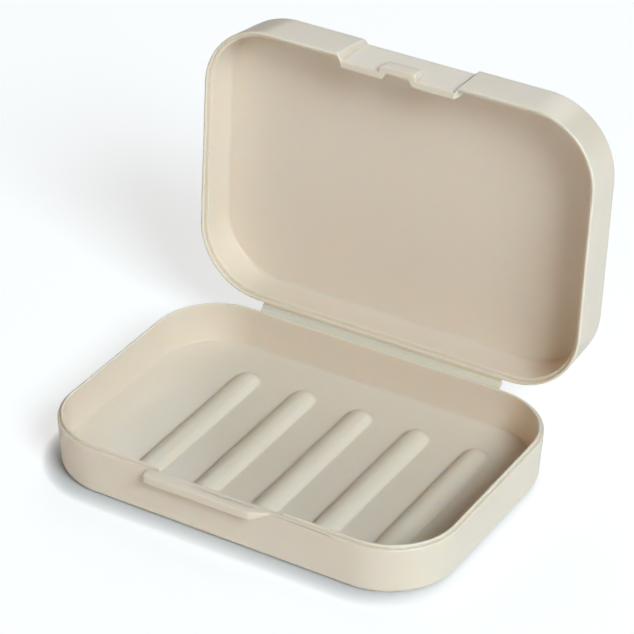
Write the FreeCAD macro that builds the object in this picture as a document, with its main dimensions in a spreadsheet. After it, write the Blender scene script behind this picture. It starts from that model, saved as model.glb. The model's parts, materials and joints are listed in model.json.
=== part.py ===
import FreeCAD, Part
import math
import os
import Sketcher
from FreeCAD import Placement, Rotation, Vector

# A hinged plastic travel soap box, standing open on its base.
# Millimetres and degrees. +X runs along the length, +Y to the hinge, +Z up.
# The origin is the middle of the base's underside.

# Driving dimensions: name, value, meaning
SIZES = [
    ("box_length", 110.0, "outside length at the rims"),
    ("box_width", 75.4, "outside width at the rims"),
    ("corner_radius", 18.0, "outside corner radius at the rims"),
    ("base_height", 13.3, "height of the base's ledge above the table"),
    ("base_inset_end", 0.6, "lean of the base's end walls over their height"),
    ("base_inset_side", 0.15, "lean of the base's long walls over their height"),
    ("base_foot_corner", 18.6, "outside corner radius at the base's underside"),
    ("foot_radius", 2.0, "rounding of the base's bottom edge"),
    ("floor_thickness", 1.5, "thickness of the base's flat floor"),
    ("base_ledge", 0.85, "flat ledge outside the lip, which the lid's rim faces"),
    ("lip_thickness", 0.6, "thickness of the raised lip"),
    ("lip_height", 0.8, "height of the lip above the ledge"),
    ("lip_end_rounding", 0.25, "rounding of the lip's two ends"),
    ("lip_end_clearance", 0.2, "from a lip end to the lid's recess wall"),
    ("well_crease_height", 2.8, "height where the well's wall meets its slope"),
    ("well_slope_side", 15.3, "width of the slope along the long walls"),
    ("well_slope_end", 8.1, "width of the slope along the end walls"),
    ("well_end_straight", 2.9, "straight part of each end of the flat floor"),
    ("rib_count", 5, "drainage ribs"),
    ("rib_pitch", 16.6, "distance from rib to rib"),
    ("rib_width", 7.0, "width of a rib at its foot"),
    ("rib_height", 2.25, "height of a rib above the floor"),
    ("rib_length", 52.6, "length of a rib over its round ends"),
    ("rib_root", 0.5, "how far a rib's foot is set into the floor"),
    ("rib_row_shift", 3.5, "from the box's middle to the rib row's middle"),
    ("tab_left", 20.2, "from the middle to the left end of the thumb tab"),
    ("tab_right", 9.6, "from the middle to the right end of its full part"),
    ("tab_fade", 4.9, "length over which the tab runs out into the wall"),
    ("tab_fade_rest", 0.15, "what is left of the tab where it runs out"),
    ("tab_reach", 2.35, "how far the tab stands out of the wall"),
    ("tab_height", 2.4, "height of the tab's front"),
    ("scoop_offset", 0.4, "from the middle to the middle of the scoop behind the tab"),
    ("scoop_length", 18.8, "length of the scoop"),
    ("scoop_width", 1.4, "width of the scoop"),
    ("scoop_depth", 0.7, "depth of the scoop below the ledge"),
    ("scoop_wall", 0.6, "wall between the scoop and the well"),
    ("hinge_reach", 1.6, "from the rear walls to the hinge's axis"),
    ("leaf_reach", 0.5, "how far the stiff hinge leaves stand out"),
    ("leaf_thickness", 0.8, "thickness of the stiff hinge leaves"),
    ("web_thickness", 0.4, "thickness of the bending strip"),
    ("web_length", 70.2, "length of the bending strip"),
    ("lid_open_angle", 93.6, "angle of the lid from closed"),
    ("seam_gap", 0.2, "gap between the two rims when closed"),
    ("lid_side_height", 13.0, "height of the lid's side walls"),
    ("lid_crown", 0.3, "rise of the lid's top to its flat middle"),
    ("lid_side_inset", 0.33, "lean of the lid's side walls over their height"),
    ("lid_top_radius", 19.2, "outside corner radius at the top of the side walls"),
    ("lid_edge_radius", 0.9, "rounding of the lid's top edge"),
    ("lid_wall", 1.6, "thickness of the lid's walls"),
    ("lip_clearance", 0.15, "from the lip to the lid's rim band"),
    ("lip_headroom", 0.2, "lip to the floor of the lid's rebate, seam gap apart"),
    ("lid_crease_depth", 10.7, "from the rim to the crease inside the lid"),
    ("lid_panel_depth", 11.5, "from the rim to the flat panel inside the lid"),
    ("lid_slope", 13.5, "width of the slope inside the lid"),
    ("lid_end_straight", 7.2, "straight part of each end of the flat panel"),
    ("recess_width", 34.4, "width of the finger recess in the lid's front"),
    ("recess_depth", 1.7, "depth of the recess at the rim"),
    ("recess_depth_top", 1.05, "depth of the recess at the lid's top"),
    ("recess_wall", 1.85, "thickness of the wall behind the recess"),
    ("recess_jog", 0.7, "how far that wall's inner jogs lie outside the outer ones"),
    ("recess_slant", 1.7, "how much narrower that wall is at its inner face"),
    ("recess_root", 0.4, "how far that wall is set into the slope above it"),
    ("bump_width", 10.1, "width of the catch boss in the recess"),
    ("bump_height", 4.4, "height of the catch boss from the rim"),
    ("bump_side_wall", 1.75, "side walls of the boss"),
    ("bump_front_wall", 1.75, "front wall of the boss"),
    ("bump_top_wall", 1.3, "wall over the hollow in the boss"),
    ("bump_hollow_slant", 0.9, "how much the hollow widens inwards, each side"),
]

doc = FreeCAD.newDocument("soap_box")
sheet = doc.addObject("Spreadsheet::Sheet", "Sizes")
for row, (name, value, meaning) in enumerate(SIZES, start=1):
    sheet.set(f"A{row}", meaning)
    sheet.set(f"B{row}", str(value))
    sheet.setAlias(f"B{row}", name)
doc.recompute()


class Size:
    """A size: its value now, and the formula of sheet cells that a feature is bound to."""

    def __init__(self, value, formula):
        self.value = value
        self.formula = formula

    def __add__(self, other):
        other = as_size(other)
        return Size(self.value + other.value, f"({self.formula} + {other.formula})")

    def __sub__(self, other):
        other = as_size(other)
        return Size(self.value - other.value, f"({self.formula} - {other.formula})")

    def __mul__(self, other):
        other = as_size(other)
        return Size(self.value * other.value, f"({self.formula} * {other.formula})")

    def __truediv__(self, other):
        other = as_size(other)
        return Size(self.value / other.value, f"({self.formula} / {other.formula})")

    def __neg__(self):
        return Size(-self.value, f"(-1 * {self.formula})")


def as_size(number):
    return number if isinstance(number, Size) else Size(float(number), str(number))


def cell(name):
    return Size(float(sheet.get(name)), f"Sizes.{name}")


def sine(angle):
    return Size(math.sin(math.radians(angle.value)), f"sin({angle.formula})")


def tangent(angle):
    return Size(math.tan(math.radians(angle.value)), f"tan({angle.formula})")


ZERO = as_size(0)

half_length = cell("box_length") / 2
half_width = cell("box_width") / 2
base_height = cell("base_height")

# The hinge's axis is level with the middle of the closed seam
hinge_y = half_width + cell("hinge_reach")
hinge_z = base_height + cell("seam_gap") / 2


def bind(feature, size, *properties):
    for name in properties:
        feature.setExpression(name, size.formula)


def new_body(name):
    body = doc.addObject("PartDesign::Body", name)
    body.Label = name
    return body


def new_sketch(body, name, role, x=ZERO, y=ZERO, z=ZERO):
    """A sketch on one of the body's own planes, shifted by x, y and z in the plane's directions."""
    sketch = body.newObject("Sketcher::SketchObject", name)
    plane = next(f for f in body.Origin.OriginFeatures if f.Role == role)
    sketch.AttachmentSupport = (plane, "")
    sketch.MapMode = "FlatFace"
    sketch.AttachmentOffset = Placement(Vector(x.value, y.value, z.value), Rotation())
    bind(sketch, x, "AttachmentOffset.Base.x")
    bind(sketch, y, "AttachmentOffset.Base.y")
    bind(sketch, z, "AttachmentOffset.Base.z")
    return sketch


def hold(sketch, kind, curve, end, size):
    """Holds one end of a curve at a distance along X or Y from the sketch's origin."""
    origin = (-1, 1)
    if size.value < 0:
        index = sketch.addConstraint(Sketcher.Constraint(kind, curve, end, *origin, -size.value))
        size = -size
    else:
        index = sketch.addConstraint(Sketcher.Constraint(kind, *origin, curve, end, size.value))
    bind(sketch, size, f"Constraints[{index}]")


def hold_radius(sketch, curve, size):
    index = sketch.addConstraint(Sketcher.Constraint("Radius", curve, size.value))
    bind(sketch, size, f"Constraints[{index}]")


def polygon(sketch, corners):
    """A closed outline through corners, each a pair of sizes."""
    points = [Vector(x.value, y.value, 0) for x, y in corners]
    lines = [
        sketch.addGeometry(Part.LineSegment(a, b))
        for a, b in zip(points, points[1:] + points[:1])
    ]
    for this, following in zip(lines, lines[1:] + lines[:1]):
        sketch.addConstraint(Sketcher.Constraint("Coincident", this, 2, following, 1))
    for line, (x, y) in zip(lines, corners):
        hold(sketch, "DistanceX", line, 1, x)
        hold(sketch, "DistanceY", line, 1, y)


def mirrored(corners):
    """The corners given for the right side, and the same for the left, as one closed outline."""
    return corners + [(-x, y) for x, y in reversed(corners)]


def rounded_outline(sketch, half_x, half_y, radius):
    """A rectangle with round corners about the sketch's origin."""
    x, y, r = half_x.value, half_y.value, radius.value
    sides = [
        ((x, r - y), (x, y - r)),
        ((x - r, y), (r - x, y)),
        ((-x, y - r), (-x, r - y)),
        ((r - x, -y), (x - r, -y)),
    ]
    middles = [(x - r, y - r), (r - x, y - r), (r - x, r - y), (x - r, r - y)]
    lines = [
        sketch.addGeometry(Part.LineSegment(Vector(*a, 0), Vector(*b, 0))) for a, b in sides
    ]
    arcs = []
    for turn, middle in enumerate(middles):
        circle = Part.Circle(Vector(*middle, 0), Vector(0, 0, 1), r)
        start = turn * math.pi / 2
        arcs.append(sketch.addGeometry(Part.ArcOfCircle(circle, start, start + math.pi / 2)))
    for i in range(4):
        sketch.addConstraint(Sketcher.Constraint("Tangent", lines[i], 2, arcs[i], 1))
        sketch.addConstraint(Sketcher.Constraint("Tangent", arcs[i], 2, lines[(i + 1) % 4], 1))
    for arc in arcs[1:]:
        sketch.addConstraint(Sketcher.Constraint("Equal", arcs[0], arc))
    hold_radius(sketch, arcs[0], radius)
    for i, kind in enumerate(("Vertical", "Horizontal", "Vertical", "Horizontal")):
        sketch.addConstraint(Sketcher.Constraint(kind, lines[i]))
    hold(sketch, "DistanceX", lines[0], 1, half_x)
    hold(sketch, "DistanceY", lines[1], 1, half_y)
    hold(sketch, "DistanceX", lines[2], 1, -half_x)
    hold(sketch, "DistanceY", lines[3], 1, -half_y)


def extrude(body, kind, name, sketch, length, upwards=True):
    """A Pad, or a Pocket, from the sketch along its normal or against it."""
    feature = body.newObject(f"PartDesign::{kind}", name)
    feature.Profile = sketch
    feature.Length = length.value
    bind(feature, length, "Length")
    feature.Reversed = upwards == (kind == "Pocket")
    return feature


def loft(body, kind, name, start, end):
    """A straight-sided AdditiveLoft or SubtractiveLoft between two sketches."""
    feature = body.newObject(f"PartDesign::{kind}", name)
    feature.Profile = start
    feature.Sections = [end]
    feature.Ruled = True
    return feature


def edges_at(feature, wanted):
    """Names of the feature's edges whose every vertex is wanted."""
    doc.recompute()
    return [
        f"Edge{i}"
        for i, edge in enumerate(feature.Shape.Edges, start=1)
        if all(wanted(v.Point) for v in edge.Vertexes)
    ]


def fillet(body, name, feature, wanted, radius):
    result = body.newObject("PartDesign::Fillet", name)
    result.Base = (feature, edges_at(feature, wanted))
    result.Radius = radius.value
    bind(result, radius, "Radius")
    return result


def near(a, b, tolerance=1e-4):
    return abs(a - b) < tolerance


# The base: a shallow tray with a ledge, a lip, a dished floor, ribs, a thumb tab and a scoop

base_wall = cell("base_ledge") + cell("lip_thickness")
well_x = half_length - base_wall
well_y = half_width - base_wall
lip_half_gap = cell("recess_width") / 2 + cell("lip_end_clearance")


def base_shell(body):
    rim = new_sketch(body, "base_rim_outline", "XY_Plane", z=base_height)
    rounded_outline(rim, half_length, half_width, cell("corner_radius"))
    foot = new_sketch(body, "base_foot_outline", "XY_Plane")
    rounded_outline(
        foot,
        half_length - cell("base_inset_end"),
        half_width - cell("base_inset_side"),
        cell("base_foot_corner"),
    )
    shell = loft(body, "AdditiveLoft", "base_shell", rim, foot)
    fillet(body, "foot_rounding", shell, lambda p: near(p.z, 0), cell("foot_radius"))

    ledge = cell("base_ledge")
    lip = new_sketch(body, "lip_outline", "XY_Plane", z=base_height)
    rounded_outline(
        lip, half_length - ledge, half_width - ledge, cell("corner_radius") - ledge
    )
    extrude(body, "Pad", "lip_block", lip, cell("lip_height"))


def base_well(body):
    crease = cell("well_crease_height")
    well_radius = cell("corner_radius") - base_wall
    lip_top = base_height + cell("lip_height")
    mouth = new_sketch(body, "well_mouth", "XY_Plane", z=lip_top)
    rounded_outline(mouth, well_x, well_y, well_radius)
    extrude(body, "Pocket", "well", mouth, lip_top - crease, upwards=False)

    slope_top = new_sketch(body, "well_slope_top", "XY_Plane", z=crease)
    rounded_outline(slope_top, well_x, well_y, well_radius)
    floor_y = well_y - cell("well_slope_side")
    slope_foot = new_sketch(body, "well_slope_foot", "XY_Plane", z=cell("floor_thickness"))
    rounded_outline(
        slope_foot,
        well_x - cell("well_slope_end"),
        floor_y,
        floor_y - cell("well_end_straight") / 2,
    )
    loft(body, "SubtractiveLoft", "well_slope", slope_top, slope_foot)


def lip_gap(body):
    """The front of the lip is left open where the lid's recess comes down."""
    outer_y = cell("base_ledge") - half_width
    gap = new_sketch(body, "lip_gap_outline", "XY_Plane", z=base_height)
    polygon(
        gap,
        mirrored([(lip_half_gap, -half_width), (lip_half_gap, -well_y + cell("lip_thickness"))]),
    )
    cut = extrude(body, "Pocket", "lip_gap", gap, cell("lip_height"))

    def lip_end(point):
        on_faces = near(point.y, outer_y.value) or near(point.y, -well_y.value)
        return near(abs(point.x), lip_half_gap.value) and on_faces

    upright = [
        name
        for name in edges_at(cut, lip_end)
        if near(cut.Shape.getElement(name).Length, cell("lip_height").value)
    ]
    ends = body.newObject("PartDesign::Fillet", "lip_end_rounding")
    ends.Base = (cut, upright)
    ends.Radius = cell("lip_end_rounding").value
    bind(ends, cell("lip_end_rounding"), "Radius")


def rib_profile(sketch, half_only):
    """A low arch standing on the floor, with a root below it, or its right half alone."""
    half = cell("rib_width") / 2
    rise = cell("rib_height")
    foot = cell("floor_thickness")
    root = foot - cell("rib_root")
    crown = foot + rise
    radius = (half * half + rise * rise) / (rise * 2)
    middle = crown - radius
    lean = math.atan2((foot - middle).value, half.value)
    circle = Part.Circle(Vector(0, middle.value, 0), Vector(0, 0, 1), radius.value)
    end_angle = math.pi / 2 if half_only else math.pi - lean
    left = ZERO if half_only else -half
    left_top = crown if half_only else foot
    arc = sketch.addGeometry(Part.ArcOfCircle(circle, lean, end_angle))
    corners = [(left, left_top), (left, root), (half, root), (half, foot)]
    points = [Vector(x.value, y.value, 0) for x, y in corners]
    lines = [
        sketch.addGeometry(Part.LineSegment(a, b)) for a, b in zip(points, points[1:])
    ]
    loop = [arc] + lines
    for this, following in zip(loop, loop[1:] + loop[:1]):
        sketch.addConstraint(Sketcher.Constraint("Coincident", this, 2, following, 1))
    for line, (x, y) in zip(lines, corners):
        hold(sketch, "DistanceX", line, 1, x)
        hold(sketch, "DistanceY", line, 1, y)
    hold(sketch, "DistanceX", lines[-1], 2, half)
    hold(sketch, "DistanceY", lines[-1], 2, foot)
    hold_radius(sketch, arc, radius)


def along_row(body, name, originals, direction):
    """Repeats one rib's features along the row."""
    row = body.newObject("PartDesign::LinearPattern", name)
    row.Originals = originals
    row.Direction = (direction, ["H_Axis"])
    row.Mode = "Spacing"
    row.Offset = cell("rib_pitch").value
    row.Occurrences = int(cell("rib_count").value)
    bind(row, cell("rib_pitch"), "Offset")
    bind(row, cell("rib_count"), "Occurrences")
    body.Tip = row
    return row


def ribs(body):
    first_x = cell("rib_row_shift") - cell("rib_pitch") * (cell("rib_count") - 1) / 2
    straight = cell("rib_length") - cell("rib_width")
    arch = new_sketch(body, "rib_arch", "XZ_Plane", x=first_x)
    rib_profile(arch, half_only=False)
    bar = extrude(body, "Pad", "rib_bar", arch, straight)
    bar.SideType = "Symmetric"
    ends = []
    for name, side in (("front", 1), ("rear", -1)):
        half_arch = new_sketch(
            body, f"rib_{name}_arch", "XZ_Plane", x=first_x, z=straight * side / 2
        )
        rib_profile(half_arch, half_only=True)
        end = body.newObject("PartDesign::Revolution", f"rib_{name}_end")
        end.Profile = half_arch
        end.ReferenceAxis = (half_arch, ["V_Axis"])
        end.Angle = 180
        end.Reversed = side > 0
        ends.append(end)
    doc.recompute()
    along_row(body, "rib_row", [bar] + ends, arch)

    # Each rib is hollow from below, so that its wall is as thick as the floor
    hollow_half = cell("rib_width") / 2 - cell("floor_thickness")
    hollow_end = straight / 2
    hollow = new_sketch(body, "rib_hollow_outline", "XY_Plane", x=first_x)
    polygon(hollow, mirrored([(hollow_half, -hollow_end), (hollow_half, hollow_end)]))
    groove = extrude(body, "Pocket", "rib_hollow", hollow, cell("rib_height"))
    doc.recompute()
    along_row(body, "rib_hollow_row", [groove], hollow)


def thumb_tab(body):
    """A ledge on the front wall, level with the rim, which runs out into the wall at its right end."""
    inside = -half_width + cell("lip_thickness")
    front = -half_width - cell("tab_reach")
    top = base_height
    under = base_height - cell("tab_height")
    plan = new_sketch(body, "tab_outline", "XY_Plane", z=base_height)
    left, right = -cell("tab_left"), cell("tab_right")
    polygon(plan, [(left, inside), (left, front), (right, front), (right, inside)])
    extrude(body, "Pad", "tab", plan, cell("tab_height"), upwards=False)

    rest = cell("tab_fade_rest")
    sections = []
    for name, x, reach_y, low in (
        ("root", right, front, under),
        ("tip", right + cell("tab_fade"), -half_width - rest, top - rest),
    ):
        section = new_sketch(body, f"tab_fade_{name}", "YZ_Plane", z=x)
        polygon(section, [(inside, low), (inside, top), (reach_y, top), (reach_y, low)])
        sections.append(section)
    loft(body, "AdditiveLoft", "tab_fade", *sections)


def scoop(body):
    """A shallow round hollow in the top of the front wall, behind the tab."""
    half = cell("scoop_length") / 2
    depth = cell("scoop_depth")
    radius = (half * half + depth * depth) / (depth * 2)
    inner_y = -well_y - cell("scoop_wall")
    outer_y = inner_y - cell("scoop_width")
    arc_sketch = new_sketch(
        body, "scoop_outline", "XZ_Plane", x=cell("scoop_offset"), y=base_height, z=-outer_y
    )
    middle = radius - depth
    lean = math.atan2(middle.value, half.value)
    circle = Part.Circle(Vector(0, middle.value, 0), Vector(0, 0, 1), radius.value)
    arc = arc_sketch.addGeometry(Part.ArcOfCircle(circle, math.pi + lean, 2 * math.pi - lean))
    right, left = Vector(half.value, 0, 0), Vector(-half.value, 0, 0)
    chord = arc_sketch.addGeometry(Part.LineSegment(right, left))
    arc_sketch.addConstraint(Sketcher.Constraint("Coincident", arc, 2, chord, 1))
    arc_sketch.addConstraint(Sketcher.Constraint("Coincident", chord, 2, arc, 1))
    for end, x in ((1, half), (2, -half)):
        hold(arc_sketch, "DistanceX", chord, end, x)
        hold(arc_sketch, "DistanceY", chord, end, ZERO)
    hold_radius(arc_sketch, arc, radius)
    extrude(body, "Pocket", "scoop", arc_sketch, cell("scoop_width"), upwards=False)


def hinge_leaf(body, name, rear_y, seam_z, upwards):
    """A stiff strip on a rear wall, at the rim, which the bending strip starts from."""
    half = cell("web_length") / 2
    outline = new_sketch(body, f"{name}_outline", "XY_Plane", z=seam_z)
    inside = rear_y - cell("lip_thickness")
    polygon(outline, mirrored([(half, inside), (half, rear_y + cell("leaf_reach"))]))
    extrude(body, "Pad", name, outline, cell("leaf_thickness"), upwards=upwards)


def base_tray():
    body = new_body("base_tray")
    base_shell(body)
    base_well(body)
    lip_gap(body)
    ribs(body)
    thumb_tab(body)
    scoop(body)
    hinge_leaf(body, "base_leaf", half_width, base_height, upwards=False)
    return body


# The lid: a shell with a crowned top, a rebate for the lip, and a finger recess with a catch boss.
# It is drawn closed, with the hinge's axis along its own X, and then turned open.

rim_z = cell("seam_gap") / 2
lid_middle_y = -hinge_y
panel_x = half_length - cell("lid_wall") - cell("lid_slope")
panel_y = half_width - cell("lid_wall") - cell("lid_slope")
panel_radius = panel_y - cell("lid_end_straight") / 2


def lid_sketch(body, name, depth):
    """A sketch level with the rim, raised by depth and centred on the lid."""
    return new_sketch(body, name, "XY_Plane", y=lid_middle_y, z=rim_z + depth)


def lid_shell(body):
    side_height = cell("lid_side_height")
    inset = cell("lid_side_inset")
    rim = lid_sketch(body, "lid_rim_outline", ZERO)
    rounded_outline(rim, half_length, half_width, cell("corner_radius"))
    shoulder = lid_sketch(body, "lid_shoulder_outline", side_height)
    rounded_outline(
        shoulder, half_length - inset, half_width - inset, cell("lid_top_radius")
    )
    loft(body, "AdditiveLoft", "lid_sides", rim, shoulder)
    crown_foot = lid_sketch(body, "lid_crown_foot", side_height)
    rounded_outline(
        crown_foot, half_length - inset, half_width - inset, cell("lid_top_radius")
    )
    crown = lid_sketch(body, "lid_crown_outline", side_height + cell("lid_crown"))
    rounded_outline(crown, panel_x, panel_y, panel_radius)
    top = loft(body, "AdditiveLoft", "lid_top", crown_foot, crown)
    shoulder_z = rim_z + side_height
    fillet(
        body,
        "lid_edge_rounding",
        top,
        lambda p: near(p.z, shoulder_z.value),
        cell("lid_edge_radius"),
    )


def lid_hollow(body):
    wall = cell("lid_wall")
    inner_x, inner_y = half_length - wall, half_width - wall
    inner_radius = cell("corner_radius") - wall
    crease = cell("lid_crease_depth")
    mouth = lid_sketch(body, "lid_mouth", ZERO)
    rounded_outline(mouth, inner_x, inner_y, inner_radius)
    extrude(body, "Pocket", "lid_hollow", mouth, crease)
    slope_top = lid_sketch(body, "lid_slope_foot", crease)
    rounded_outline(slope_top, inner_x, inner_y, inner_radius)
    panel = lid_sketch(body, "lid_panel_outline", cell("lid_panel_depth"))
    rounded_outline(panel, panel_x, panel_y, panel_radius)
    loft(body, "SubtractiveLoft", "lid_slope", slope_top, panel)

    band = cell("base_ledge") - cell("lip_clearance")
    rebate = lid_sketch(body, "rebate_outline", ZERO)
    rounded_outline(
        rebate, half_length - band, half_width - band, cell("corner_radius") - band
    )
    extrude(body, "Pocket", "rebate", rebate, cell("lip_height") + cell("lip_headroom"))


def finger_recess(body):
    """The lid's front wall steps inwards over the lip's gap."""
    half = cell("recess_width") / 2
    wall_y = cell("lid_wall") - half_width
    step_y = cell("recess_depth") + cell("recess_wall") - half_width
    outer_y = cell("base_ledge") - half_width
    jog = half + cell("recess_jog")
    step = lid_sketch(body, "recess_wall_outline", ZERO)
    polygon(
        step,
        mirrored(
            [
                (half, outer_y),
                (half, wall_y),
                (jog, wall_y),
                (jog - cell("recess_slant"), step_y),
            ]
        ),
    )
    extrude(
        body, "Pad", "recess_wall", step, cell("lid_crease_depth") + cell("recess_root")
    )

    # The recess has sides at 45 degrees, and gets shallower towards the lid's top
    overall = cell("lid_side_height") + cell("lid_crown")
    sections = []
    for name, height, depth in (
        ("rim", ZERO, cell("recess_depth")),
        ("top", overall, cell("recess_depth_top")),
    ):
        section = lid_sketch(body, f"recess_{name}_outline", height)
        out = cell("lid_wall")
        polygon(
            section,
            mirrored([(half + out, -half_width - out), (half - depth, depth - half_width)]),
        )
        sections.append(section)
    loft(body, "SubtractiveLoft", "recess", *sections)


def catch_boss(body):
    """A small hollow boss in the recess, flush with the lid's front."""
    half = cell("bump_width") / 2
    recess_y = cell("recess_depth") - half_width
    step_y = recess_y + cell("recess_wall")
    root_y = recess_y + cell("recess_wall") / 2
    boss = lid_sketch(body, "boss_outline", ZERO)
    polygon(boss, mirrored([(half, -half_width), (half, root_y)]))
    extrude(body, "Pad", "boss", boss, cell("bump_height"))

    deep_y = cell("bump_front_wall") - half_width
    hollow_half = half - cell("bump_side_wall")
    slant = cell("bump_hollow_slant")
    past = slant * cell("lip_thickness") / cell("recess_wall")
    hollow = lid_sketch(body, "boss_hollow_outline", ZERO)
    polygon(
        hollow,
        mirrored(
            [
                (hollow_half, deep_y),
                (hollow_half + slant + past, step_y + cell("lip_thickness")),
            ]
        ),
    )
    extrude(
        body, "Pocket", "boss_hollow", hollow, cell("bump_height") - cell("bump_top_wall")
    )


def lid():
    body = new_body("lid")
    lid_shell(body)
    lid_hollow(body)
    finger_recess(body)
    catch_boss(body)
    hinge_leaf(body, "lid_leaf", -cell("hinge_reach"), rim_z, upwards=True)
    on_hinge(body)
    body.Placement = Placement(
        Vector(0, hinge_y.value, hinge_z.value),
        Rotation(Vector(-1, 0, 0), cell("lid_open_angle").value),
    )
    bind(body, cell("lid_open_angle"), "Placement.Rotation.Angle")
    return body


def on_hinge(body):
    body.Placement = Placement(Vector(0, hinge_y.value, hinge_z.value), Rotation())
    bind(body, hinge_y, "Placement.Base.y")
    bind(body, hinge_z, "Placement.Base.z")


# The bending strip: bent round from the base's leaf to the lid's, with its own X on the axis


def living_hinge():
    body = new_body("living_hinge")
    thickness = cell("web_thickness")
    turn = as_size(180) - cell("lid_open_angle")
    leaf_y = cell("leaf_reach") - cell("hinge_reach")
    centre_line = rim_z + thickness / 2
    half_tangent = tangent(turn / 2)
    radius = (centre_line * half_tangent - leaf_y) / half_tangent
    middle_z = radius - centre_line
    sketch = new_sketch(body, "strip_section", "YZ_Plane")
    middle = Vector(leaf_y.value, middle_z.value, 0)
    start = -math.pi / 2
    end = start + math.radians(turn.value)
    arcs = []
    for arc_radius in (radius - thickness / 2, radius + thickness / 2):
        circle = Part.Circle(middle, Vector(0, 0, 1), arc_radius.value)
        arc = sketch.addGeometry(Part.ArcOfCircle(circle, start, end))
        hold_radius(sketch, arc, arc_radius)
        sketch.addConstraint(Sketcher.Constraint("Vertical", arc, 3, arc, 1))
        hold(sketch, "DistanceX", arc, 2, leaf_y + arc_radius * sine(turn))
        arcs.append(arc)
    inner, outer = arcs
    sketch.addConstraint(Sketcher.Constraint("Coincident", inner, 3, outer, 3))
    hold(sketch, "DistanceX", inner, 3, leaf_y)
    hold(sketch, "DistanceY", inner, 3, middle_z)
    for arc_end in (1, 2):
        ends = [sketch.getPoint(arc, arc_end) for arc in arcs]
        line = sketch.addGeometry(Part.LineSegment(*ends))
        sketch.addConstraint(Sketcher.Constraint("Coincident", line, 1, inner, arc_end))
        sketch.addConstraint(Sketcher.Constraint("Coincident", line, 2, outer, arc_end))
    strip = extrude(body, "Pad", "strip", sketch, cell("web_length"))
    strip.SideType = "Symmetric"
    on_hinge(body)
    return body


def check(bodies):
    """Stops if any feature failed, or a sub-part isn't one valid solid."""
    for item in doc.Objects:
        faults = {"Invalid", "Error"} & set(item.State)
        if faults:
            raise RuntimeError(f"{item.Name}: {faults}")
    for body in bodies:
        shape = body.Shape
        if shape.isNull() or not shape.isValid() or len(shape.Solids) != 1:
            raise RuntimeError(f"{body.Label} isn't one valid solid")


def main():
    bodies = [base_tray(), lid(), living_hinge()]
    doc.recompute()
    check(bodies)
    os.makedirs("parts", exist_ok=True)
    for body in bodies:
        body.Shape.exportStep(f"parts/{body.Label}.step")
        box = body.Shape.BoundBox
        print(
            f"{body.Label}: {body.Shape.Volume:.1f} mm3,"
            f" X {box.XMin:.2f} to {box.XMax:.2f},"
            f" Y {box.YMin:.2f} to {box.YMax:.2f},"
            f" Z {box.ZMin:.2f} to {box.ZMax:.2f}"
        )


main()
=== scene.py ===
import json
import math

import bmesh
import bpy
import numpy as np
from mathutils import Matrix, Vector


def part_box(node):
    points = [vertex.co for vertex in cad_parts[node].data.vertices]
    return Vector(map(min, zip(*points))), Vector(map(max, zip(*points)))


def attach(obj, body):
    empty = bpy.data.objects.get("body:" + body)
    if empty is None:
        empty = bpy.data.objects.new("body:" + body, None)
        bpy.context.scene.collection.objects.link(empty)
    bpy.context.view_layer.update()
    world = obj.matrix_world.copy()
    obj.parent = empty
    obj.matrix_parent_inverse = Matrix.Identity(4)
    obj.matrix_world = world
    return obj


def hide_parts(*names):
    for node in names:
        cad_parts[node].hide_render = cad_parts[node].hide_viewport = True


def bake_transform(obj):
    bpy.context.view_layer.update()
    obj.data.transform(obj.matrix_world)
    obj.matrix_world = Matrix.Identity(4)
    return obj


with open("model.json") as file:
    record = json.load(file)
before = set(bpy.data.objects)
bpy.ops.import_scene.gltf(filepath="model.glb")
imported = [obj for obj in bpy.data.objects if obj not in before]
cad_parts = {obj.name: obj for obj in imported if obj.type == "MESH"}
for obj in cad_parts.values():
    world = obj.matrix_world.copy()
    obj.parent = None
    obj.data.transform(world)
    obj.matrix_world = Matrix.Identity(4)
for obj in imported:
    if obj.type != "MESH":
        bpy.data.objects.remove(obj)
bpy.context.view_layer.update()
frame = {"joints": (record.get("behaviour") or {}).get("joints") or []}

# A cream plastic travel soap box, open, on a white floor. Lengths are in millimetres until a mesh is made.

MM = 0.001

# Sizes of the box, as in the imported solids
_, base_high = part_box("base_tray")
_, web_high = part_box("living_hinge")
joint = frame["joints"][0]
HALF_LENGTH = base_high.x / MM
HALF_WIDTH = 37.7
CORNER_RADIUS = 18.0
LIP_HEIGHT = 0.8
LIP_TOP = base_high.z / MM
BASE_HEIGHT = LIP_TOP - LIP_HEIGHT
BASE_INSET_END = 0.6
BASE_INSET_SIDE = 0.15
FOOT_CORNER = 18.6
FOOT_RADIUS = 2.0
BASE_LEDGE = 0.85
LIP_THICKNESS = 0.6
BASE_WALL = BASE_LEDGE + LIP_THICKNESS
HINGE_Y = joint["pos_m"][1] / MM
HINGE_Z = joint["pos_m"][2] / MM
OPEN_ANGLE = math.radians(joint["range_deg"][1])
RIM_OFFSET = HINGE_Z - BASE_HEIGHT
STRAIGHT_X = HALF_LENGTH - CORNER_RADIUS
EDGE = 0.3
LIP_EDGE = 0.22

# The row in the middle of a rounded edge lies at these shares of its radius
NEAR = 0.3
FAR = 0.7
FLAT_SHADING_WEIGHT = 90

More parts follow.
